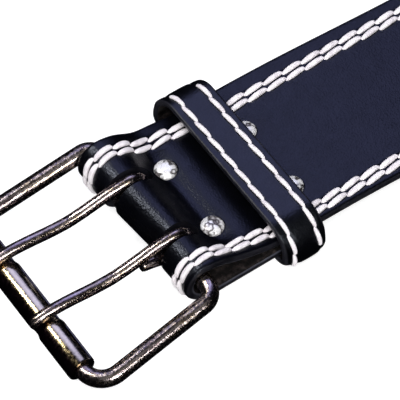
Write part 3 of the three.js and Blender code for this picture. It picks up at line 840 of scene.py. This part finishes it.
# Stitches
def stitch_mesh(name, lines, surface, pitch, length, width, height, slant):
    """One mesh of many stitches along (u, v) polylines, on the surface(u, v, above)."""
    points, faces, uvs = [], [], []
    t = np.linspace(0, 1, STITCH_STEPS)
    shape = np.power(np.clip(1 - np.abs(2 * t - 1) ** STITCH_TAPER, 0, 1), STITCH_FULLNESS)
    lift = height * (shape - STITCH_SINK_SHARE)
    for line in lines:
        p3 = surface(line[:, 0], line[:, 1], 0.0)
        run = np.r_[0, np.cumsum(np.linalg.norm(np.diff(p3, axis=0), axis=1))]
        count = int(run[-1] / pitch)
        offset = (run[-1] - count * pitch) / 2 + pitch / 2
        for i in range(count):
            wobble = math.sin(i * WOBBLE_STEP + WOBBLE_START) * 0.5
            at = offset + i * pitch + WOBBLE_PLACE * wobble + (t - 0.5) * length
            u = np.interp(at, run, line[:, 0])
            v = np.interp(at, run, line[:, 1])
            base = surface(u, v, 0.0)
            along = np.gradient(base, axis=0)
            along /= np.linalg.norm(along, axis=1)[:, None]
            up = surface(u, v, 0.5) - base
            up /= np.linalg.norm(up, axis=1)[:, None]
            across = np.cross(up, along)
            r = width / 2 * (STITCH_END_SHARE + (1 - STITCH_END_SHARE) * shape) * (1 + WOBBLE_WIDTH * wobble)
            shear = (t - 0.5) * length * math.tan(math.radians(slant + WOBBLE_SLANT * wobble))
            centre = base + up * lift[:, None] + across * shear[:, None]
            first = len(points)
            for k in range(STITCH_STEPS):
                for a in turns(STITCH_SIDES):
                    ring = across[k] * (r[k] * math.cos(a)) + up[k] * (STITCH_FLATNESS * r[k] * math.sin(a))
                    points.append(centre[k] + ring)
            tube = grid_faces(STITCH_STEPS, STITCH_SIDES)
            faces += [tuple(first + c for c in face) for face in tube]
            for k in range(STITCH_STEPS - 1):
                low, high = k / PLY_STEPS, (k + 1) / PLY_STEPS
                for j in range(STITCH_SIDES):
                    left, right = j / STITCH_SIDES, (j + 1) / STITCH_SIDES
                    uvs.append([(low, left), (low, right), (high, right), (high, left)])
            last = first + (STITCH_STEPS - 1) * STITCH_SIDES
            faces.append(tuple(range(first, first + STITCH_SIDES))[::-1])
            faces.append(tuple(range(last, last + STITCH_SIDES)))
            uvs += [[(0, 0)] * STITCH_SIDES] * 2
    obj = add_mesh(name, np.array(points), faces, [THREAD])
    layer = obj.data.uv_layers.new(name="UVMap")
    layer.data.foreach_set("uv", np.concatenate([np.array(corners, float).ravel() for corners in uvs]))
    fix_normals(obj)
    return obj


# The keeper
def keeper_path():
    """The keeper's middle line: place across, height, twist along the belt and belly, by point."""
    half = KEEPER_LEATHER / 2
    side = KEEPER_SPAN / 2 - half
    low, high = half, STRAP_TOP + KEEPER_STAND - half
    under, over = KEEPER_BOTTOM_CORNER, KEEPER_TOP_CORNER
    p = rounded_loop([
        arc(side - under, low + under, under, -90, 0, 14),
        arc(side - over, high - over, over, 0, 90, 14),
        arc(-side + over, high - over, over, 90, 180, 14),
        arc(-side + under, low + under, under, 180, 270, 14),
    ])
    rise = (p[:, 1] - low) / (high - low)
    twist = (1 - rise) * (KEEPER_LEAN - KEEPER_TWIST * p[:, 0] / side)
    belly = smooth((np.abs(p[:, 0]) - (side - over)) / over) * np.sin(np.pi * rise ** BELLY_SKEW)
    return np.c_[p[:, 0] + KEEPER_SIDE_SHIFT, p[:, 1], twist, belly * np.sign(p[:, 0])]


KEEPER_LINE = keeper_path()
KEEPER_OUT = outward(KEEPER_LINE[:, :2])
KEEPER_CLOSED = np.vstack([KEEPER_LINE, KEEPER_LINE[:1]])
KEEPER_RUN = np.r_[0, np.cumsum(np.linalg.norm(np.diff(KEEPER_CLOSED, axis=0), axis=1))]


def belly_at(belly, across):
    """How far a side wall stands out, at a place across the strip from its front rim to its rear."""
    near, far = np.array(KEEPER_WALLS["near"]), np.array(KEEPER_WALLS["far"])
    depth = np.where(belly > 0, far[0], near[0])
    rim = np.where(belly > 0, np.where(across < 0, far[1], far[2]), np.where(across < 0, near[1], near[2]))
    return belly * depth * (1 - (1 - rim) * np.abs(across) ** RIM_CURVE)


def keeper_section():
    """The strip's rounded section, with extra points across its faces for the rows' dents."""
    w, h, r = KEEPER_WIDTH / 2, KEEPER_LEATHER / 2, KEEPER_EDGE_ROUND
    outline = []
    for sx, sz, a0 in ((1, 1, 90), (1, -1, 0), (-1, -1, -90), (-1, 1, -180)):
        for a in np.radians(np.linspace(a0, a0 - 90, 4)):
            outline.append((sx * (w - r) + r * math.cos(a), sz * (h - r) + r * math.sin(a)))
    full = []
    for i, (x, z) in enumerate(outline):
        full.append((x, z))
        nxt = outline[(i + 1) % len(outline)]
        if abs(nxt[0] - x) > w:
            for t in np.linspace(0, 1, 24)[1:-1]:
                full.append((x + (nxt[0] - x) * t, z + (nxt[1] - z) * t))
    return full


def make_keeper():
    section = keeper_section()
    face = KEEPER_LEATHER / 2 - 0.05
    ring = []
    for (y, z, twist, belly), o in zip(KEEPER_LINE, KEEPER_OUT):
        for x, n in section:
            if n > face:
                for row in KEEPER_ROWS:
                    off_row = x + KEEPER_CENTRE - row["place"]
                    n -= KEEPER_DENT * math.exp(-(off_row / DENT_REACH) ** 2)
            bulge = float(belly_at(belly, x / (KEEPER_WIDTH / 2)))
            ring.append((KEEPER_CENTRE + twist + x, y + o[0] * n + bulge, z + o[1] * n))
    # Material slots: the outer face, the cut edges and the flesh side
    grain, edge, flesh = range(3)
    kinds = []
    for i, (_, n) in enumerate(section):
        following = section[(i + 1) % len(section)][1]
        outside, inside = min(n, following) > face, max(n, following) < -face
        kinds.append(grain if outside else flesh if inside else edge)
    faces = grid_faces(len(KEEPER_LINE), len(section), wrap_rows=True)
    slots = np.tile(kinds, len(KEEPER_LINE))
    obj = add_mesh("keeper_leather", np.array(ring), faces, [KEEPER_GRAIN, EDGE, FLESH], slots)
    fix_normals(obj)
    return obj


def keeper_surface(u, v, above):
    """u runs round the keeper by length, v is the place along the belt."""
    y, z, twist, bulge = (np.interp(u, KEEPER_RUN, column) for column in KEEPER_CLOSED.T)
    oy, oz = (np.interp(u, KEEPER_RUN, column) for column in np.vstack([KEEPER_OUT, KEEPER_OUT[:1]]).T)
    belly = belly_at(bulge, (v - KEEPER_CENTRE) / (KEEPER_WIDTH / 2))
    h = KEEPER_LEATHER / 2 + above
    return np.c_[v + twist, y + oy * h + belly, z + oz * h]


def keeper_rows():
    """Polylines (u, v) of the keeper's stitch rows, from its far shoulder to the near wall's foot."""
    rows = []
    wall_end = KEEPER_RUN[-1] - KEEPER_SPAN + 2 * KEEPER_BOTTOM_CORNER - ROW_END_MARGIN
    for row in KEEPER_ROWS:
        rise = np.linspace(KEEPER_RUN[ROW_START] + row["late"], wall_end - row["early"], 600)
        near_share = np.clip(1 - (rise[-1] - rise) / ROW_BEND_LENGTH, 0, 1) ** 2
        rows.append(np.c_[rise, row["place"] - row["bend"] * near_share])
    return rows


# The buckle
BUCKLE = Matrix.Translation((0, 0, BAR_HEIGHT)) @ Matrix.Rotation(-FRAME_TILT, 4, "Y")


def buckle_points(points):
    m = np.array(BUCKLE)
    p = np.asarray(points, float)
    return p @ m[:3, :3].T + m[:3, 3]


def make_frame():
    half, depth = FRAME_SPAN / 2, FRAME_DEPTH
    rear, front = FRAME_REAR_CORNER, FRAME_FRONT_CORNER
    rear_half = half - FRAME_NARROWING
    p = rounded_loop([
        arc(-rear, rear_half - rear, rear, 0, 90, 22),
        arc(-depth + front, half - front, front, 90, 180, 22),
        arc(-depth + front, -half + front, front, 180, 270, 22),
        arc(-rear, -rear_half + rear, rear, 270, 360, 22),
    ])
    r = WIRE / 2
    ring = []
    for q, o in zip(p, outward(p)):
        for a in turns(WIRE_SIDES):
            reach = r * math.cos(a)
            ring.append((q[0] + o[0] * reach, q[1] + o[1] * reach + FRAME_SIDE_SHIFT, r * math.sin(a)))
    faces = grid_faces(len(p), WIRE_SIDES, wrap_rows=True)
    obj = add_mesh("frame_wire", buckle_points(ring), faces, [WIRE_NICKEL])
    wrap_uv(obj, len(p), WIRE_SIDES, LOOP_SPACING, wrap_rows=True)
    fix_normals(obj)
    return obj


def roller_profile(bore):
    """Radius and place along the roller, with a groove worn by each prong."""
    end = ROLLER_LENGTH / 2
    profile = [(bore, -end)] + [(ROLLER_RADIUS - drop, -end + inset) for drop, inset in ROLLER_EDGE]
    for side, skew in zip(PRONG_SIDES, PRONG_SKEWS):
        middle = side + FRAME_DEPTH * math.tan(math.radians(skew)) - FRAME_SIDE_SHIFT
        for d in np.linspace(-1, 1, GROOVE_STEPS):
            depth = ROLLER_GROOVE_DEPTH * (1 - smooth(abs(d) * GROOVE_SLOPE - GROOVE_FLAT))
            profile.append((ROLLER_RADIUS - depth, middle + d * ROLLER_GROOVE_WIDTH / 2))
    profile += [(ROLLER_RADIUS - drop, end - inset) for drop, inset in ROLLER_EDGE[::-1]]
    return profile + [(bore, end)]


def make_roller():
    bore = WIRE / 2 + GAP
    profile = roller_profile(bore)
    angles = np.radians(np.arange(0, 360, ROLLER_STEP_DEGREES))
    slit = math.radians(SLIT_DEGREES)
    width = math.radians(SLIT_WIDTH_DEGREES)
    kept = angles[np.abs(angles - slit) > SLIT_CLEAR * width]
    angles = np.sort(np.r_[kept, slit + width * np.array(SLIT_RAYS)])
    ring = []
    for r, y in profile:
        for a in angles:
            dip = SLIT_DEPTH * max(0.0, 1 - abs(a - slit) / width) if r > bore + GAP else 0.0
            x, z = (r - dip) * math.sin(a), (r - dip) * math.cos(a)
            ring.append((x - FRAME_DEPTH, y + FRAME_SIDE_SHIFT, z))
    faces = grid_faces(len(profile), len(angles), wrap_rows=True)
    obj = add_mesh("roller_tube", buckle_points(ring), faces, [ROLLER_NICKEL_PAINTED_LIGHT])
    wrap_uv(obj, len(profile), len(angles), 1.0, wrap_rows=True)
    fix_normals(obj)
    smooth_by_angle(obj, 40)
    return obj


def catmull(points, samples):
    """Smooth curve through points."""
    p = np.array(points, float)
    n = len(p) - 1
    result = []
    for g in np.linspace(0, n, samples + 1):
        i = min(int(g), n - 1)
        t = g - i
        p0 = p[i - 1] if i > 0 else p[i]
        p1, p2 = p[i], p[i + 1]
        p3 = p[i + 2] if i + 2 <= n else p[i + 1]
        v0, v1 = (p2 - p0) / 2, (p3 - p1) / 2
        cubic = (2 * p1 - 2 * p2 + v0 + v1) * t ** 3
        square = (-3 * p1 + 3 * p2 - 2 * v0 - v1) * t ** 2
        result.append(cubic + square + v0 * t + p1)
    return np.array(result)


def hook_arc(start, end, step):
    angles = np.radians(np.arange(start, end, step))
    return [(HOOK_RADIUS * math.cos(a), HOOK_RADIUS * math.sin(a)) for a in angles]


def prong_line(reach):
    """A prong's middle line, seen from the side: its tail, the hook round the bar and its shank."""
    over = ROLLER_RADIUS - ROLLER_GROOVE_DEPTH + PRONG / 2 + GAP
    tail = [(-share * reach, (-1 + rise * reach) * HOOK_RADIUS) for share, rise in TAIL_BENDS]
    hook = hook_arc(-90, 91, 22.5)
    shank = [(-share * FRAME_DEPTH, height * over) for share, height in PRONG_BENDS]
    first = catmull([*tail, hook[0], hook[1]], 40)
    cut = [p for p in first if p[0] < -TAIL_OVERLAP]
    return np.vstack([np.array(cut), np.array(hook_arc(-90, 90, 4)), catmull([hook[-1], *shank], 90)])


def make_prong(name, side, reach, skew):
    line = prong_line(reach)
    along = np.gradient(line, axis=0)
    along /= np.linalg.norm(along, axis=1)[:, None]
    length = np.r_[0, np.cumsum(np.linalg.norm(np.diff(line, axis=0), axis=1))]
    left = length[-1] - length
    round_end = 1 - ((PRONG_TIP_LENGTH - left) / PRONG_TIP_LENGTH) ** 2 * PRONG_TIP_FALL
    shape = np.where(left < PRONG_TIP_LENGTH, np.sqrt(np.clip(round_end, PRONG_TIP_LEAST, 1)), 1.0)
    radius = PRONG / 2 * shape * np.where(length < TAIL_BEVEL, TAIL_BEVEL_SHARE, 1.0)
    c, s = math.cos(-math.radians(skew)), math.sin(-math.radians(skew))
    ring = []
    for (px, pz), (ax, az), r in zip(line, along, radius):
        for a in turns(PRONG_SIDES_ROUND):
            x = px - az * r * math.cos(a)
            z = pz + ax * r * math.cos(a)
            y = r * math.sin(a)
            ring.append((x * c - y * s, x * s + y * c + side, z))
    n, sides = len(line), PRONG_SIDES_ROUND
    faces = grid_faces(n, sides) + [tuple(range(sides)), tuple(range((n - 1) * sides, n * sides))]
    obj = add_mesh(name, buckle_points(ring), faces, [WIRE_NICKEL])
    wrap_uv(obj, n, sides, PRONG_STEP)
    fix_normals(obj)
    smooth_by_angle(obj, 50)
    return obj


def make_rivet(name, x, y):
    seat = top_height(x, y)
    head = RIVET_HEAD / 2
    foot = LIFT + GAP
    profile = [
        (RIVET_FOOT / 2, foot), (RIVET_SHANK / 2, foot + RIVET_FOOT_HEIGHT), (RIVET_SHANK / 2, seat),
        (head * RIVET_NECK_SHARE, seat - RIVET_LIP), (head, seat + RIVET_LIP), (head, seat + RIVET_RIM),
    ]
    for a in np.radians(np.arange(8, 90, 7)):
        profile.append((head * math.cos(a), seat + RIVET_RIM + (RIVET_DOME - RIVET_RIM) * math.sin(a)))
    n, sides = len(profile), RIVET_SIDES_ROUND
    ring = [(x + r * math.cos(a), y + r * math.sin(a), z) for r, z in profile for a in turns(sides)]
    ring += [(x, y, foot), (x, y, seat + RIVET_DOME)]
    faces = grid_faces(n, sides)
    top = (n - 1) * sides
    for j in range(sides):
        following = (j + 1) % sides
        faces += [(j, following, n * sides), (top + j, top + following, n * sides + 1)]
    obj = add_mesh(name, ring, faces, [RIVET_NICKEL_PAINTED_REFLECTION])
    fix_normals(obj)
    smooth_by_angle(obj, 50)
    return obj


# Build
strap = cut_strap(make_strap())
smooth_by_angle(strap, 38)
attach(strap, "strap")
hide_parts("strap")


def seam_surface(u, v, above):
    return leather_point(u, v, 1.0, above - groove(u, v))


seam_rows = [seam_line(offset) for offset in ROW_OFFSETS]
seams = stitch_mesh("seam_stitches", seam_rows, seam_surface, **SEAM_STITCH)
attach(seams, "strap")

keeper = make_keeper()
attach(keeper, "strap")
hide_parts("keeper")


def keeper_seam_surface(u, v, above):
    return keeper_surface(u, v, above - KEEPER_STITCH_SINK)


keeper_seams = stitch_mesh("keeper_stitches", keeper_rows(), keeper_seam_surface, **KEEPER_STITCH)
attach(keeper_seams, "strap")

wire = make_frame()
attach(wire, "buckle")
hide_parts("buckle_frame")

roller = make_roller()
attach(roller, "roller")
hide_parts("roller")

for name, side, reach, skew in zip(("prong_near", "prong_far"), PRONG_SIDES, PRONG_TAILS, PRONG_SKEWS):
    prong = make_prong(name + "_rod", side, reach, skew)
    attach(prong, name)
    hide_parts(name)

for place, x in (("front", RIVET_FRONT), ("rear", RIVET_REAR)):
    for which, y in (("near", RIVET_SIDES[0]), ("far", RIVET_SIDES[1])):
        rivet = make_rivet(f"rivet_{place}_{which}_cap", x, y)
        rivet.visible_glossy = False
        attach(rivet, "strap")
        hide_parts(f"rivet_{place}_{which}")

# Floor, light and camera
FLOOR_REACH = 6
FLOOR_DROP = 0.0004
floor_mesh = bpy.data.meshes.new("floor")
FLOOR_CORNERS = [(-1, -1), (1, -1), (1, 1), (-1, 1)]
floor_corners = [(sx * FLOOR_REACH, sy * FLOOR_REACH, -FLOOR_DROP) for sx, sy in FLOOR_CORNERS]
floor_mesh.from_pydata(floor_corners, [], [(0, 1, 2, 3)])
floor_material, floor_tree, floor_shader = new_material("pale_floor")
floor_shader.inputs["Base Color"].default_value = (0.5, 0.5, 0.5, 1)
floor_shader.inputs["Roughness"].default_value = 0.9
floor_shader.inputs["Emission Color"].default_value = (1, 1, 1, 1)
floor_shader.inputs["Emission Strength"].default_value = 0.75
floor_mesh.materials.append(floor_material)
floor = bpy.data.objects.new("floor", floor_mesh)
floor.visible_glossy = False
bpy.context.scene.collection.objects.link(floor)

world = bpy.data.worlds.new("studio")
world.use_nodes = True
sky = world.node_tree
sky_place = sky.nodes.new("ShaderNodeTexCoord")
sky_aim = node(sky, "ShaderNodeVectorMath", operation="DOT_PRODUCT")
sky_aim.inputs[1].default_value = (0.33, 0.46, 0.82)
sky.links.new(sky_place.outputs["Generated"], sky_aim.inputs[0])
sky_ramp = ramp(sky, sky_aim.outputs["Value"], [(0.9, (0.002, 0.002, 0.003)), (0.95, (0.43, 0.45, 0.85)),
                                               (0.985, (0.78, 0.82, 1.45))])
sky.links.new(sky_ramp.outputs["Color"], sky.nodes["Background"].inputs["Color"])
sky.nodes["Background"].inputs["Strength"].default_value = 1.0
bpy.context.scene.world = world
bpy.context.scene.view_settings.view_transform = "Standard"

TARGET = Vector((SHIFT, 0, 0.01))


def area_light(name, direction, distance, size_x, size_y, power):
    """A soft light that faces the belt from a direction."""
    data = bpy.data.lights.new(name, "AREA")
    data.shape = "RECTANGLE"
    data.size = size_x
    data.size_y = size_y
    data.energy = power
    light = bpy.data.objects.new(name, data)
    towards = Vector(direction).normalized()
    light.location = TARGET + towards * distance
    light.rotation_euler = (-towards).to_track_quat("-Z", "Y").to_euler()
    bpy.context.scene.collection.objects.link(light)
    return light


area_light("far_softbox", (-0.335, 0.458, 0.823), 1.6, 0.24, 0.3, 7)
area_light("near_strip", (-0.24, -0.77, 0.6), 1.6, 0.7, 0.3, 7)
area_light("camera_card", (-0.3, -0.42, 0.86), 1.6, 1.3, 1.3, 0.8)
area_light("overhead_fill", (-0.2, -0.25, 0.95), 1.7, 1.4, 1.4, 33).visible_glossy = False

CAMERA_AT = Vector((SHIFT + -305.262 * MM, -470.914 * MM, 862.150 * MM))
CAMERA_TURN = 34.665
CAMERA_DIP = 56.177
CAMERA_ROLL = -0.058
CAMERA_LENS = 270
turn, dip, roll = map(math.radians, (CAMERA_TURN, CAMERA_DIP, CAMERA_ROLL))
forward = Vector((math.sin(turn) * math.cos(dip), math.cos(turn) * math.cos(dip), -math.sin(dip)))
right = Vector((math.cos(turn), -math.sin(turn), 0))
up = right.cross(forward)
right, up = right * math.cos(roll) + up * math.sin(roll), up * math.cos(roll) - right * math.sin(roll)
camera_data = bpy.data.cameras.new("camera")
camera_data.sensor_width = 36
camera_data.lens = CAMERA_LENS
camera_data.clip_start = 0.05
camera_data.clip_end = 30
camera = bpy.data.objects.new("camera", camera_data)
rotation = Matrix((right, up, -forward)).transposed().to_4x4()
camera.matrix_world = Matrix.Translation(CAMERA_AT) @ rotation
bpy.context.scene.collection.objects.link(camera)
bpy.context.scene.camera = camera
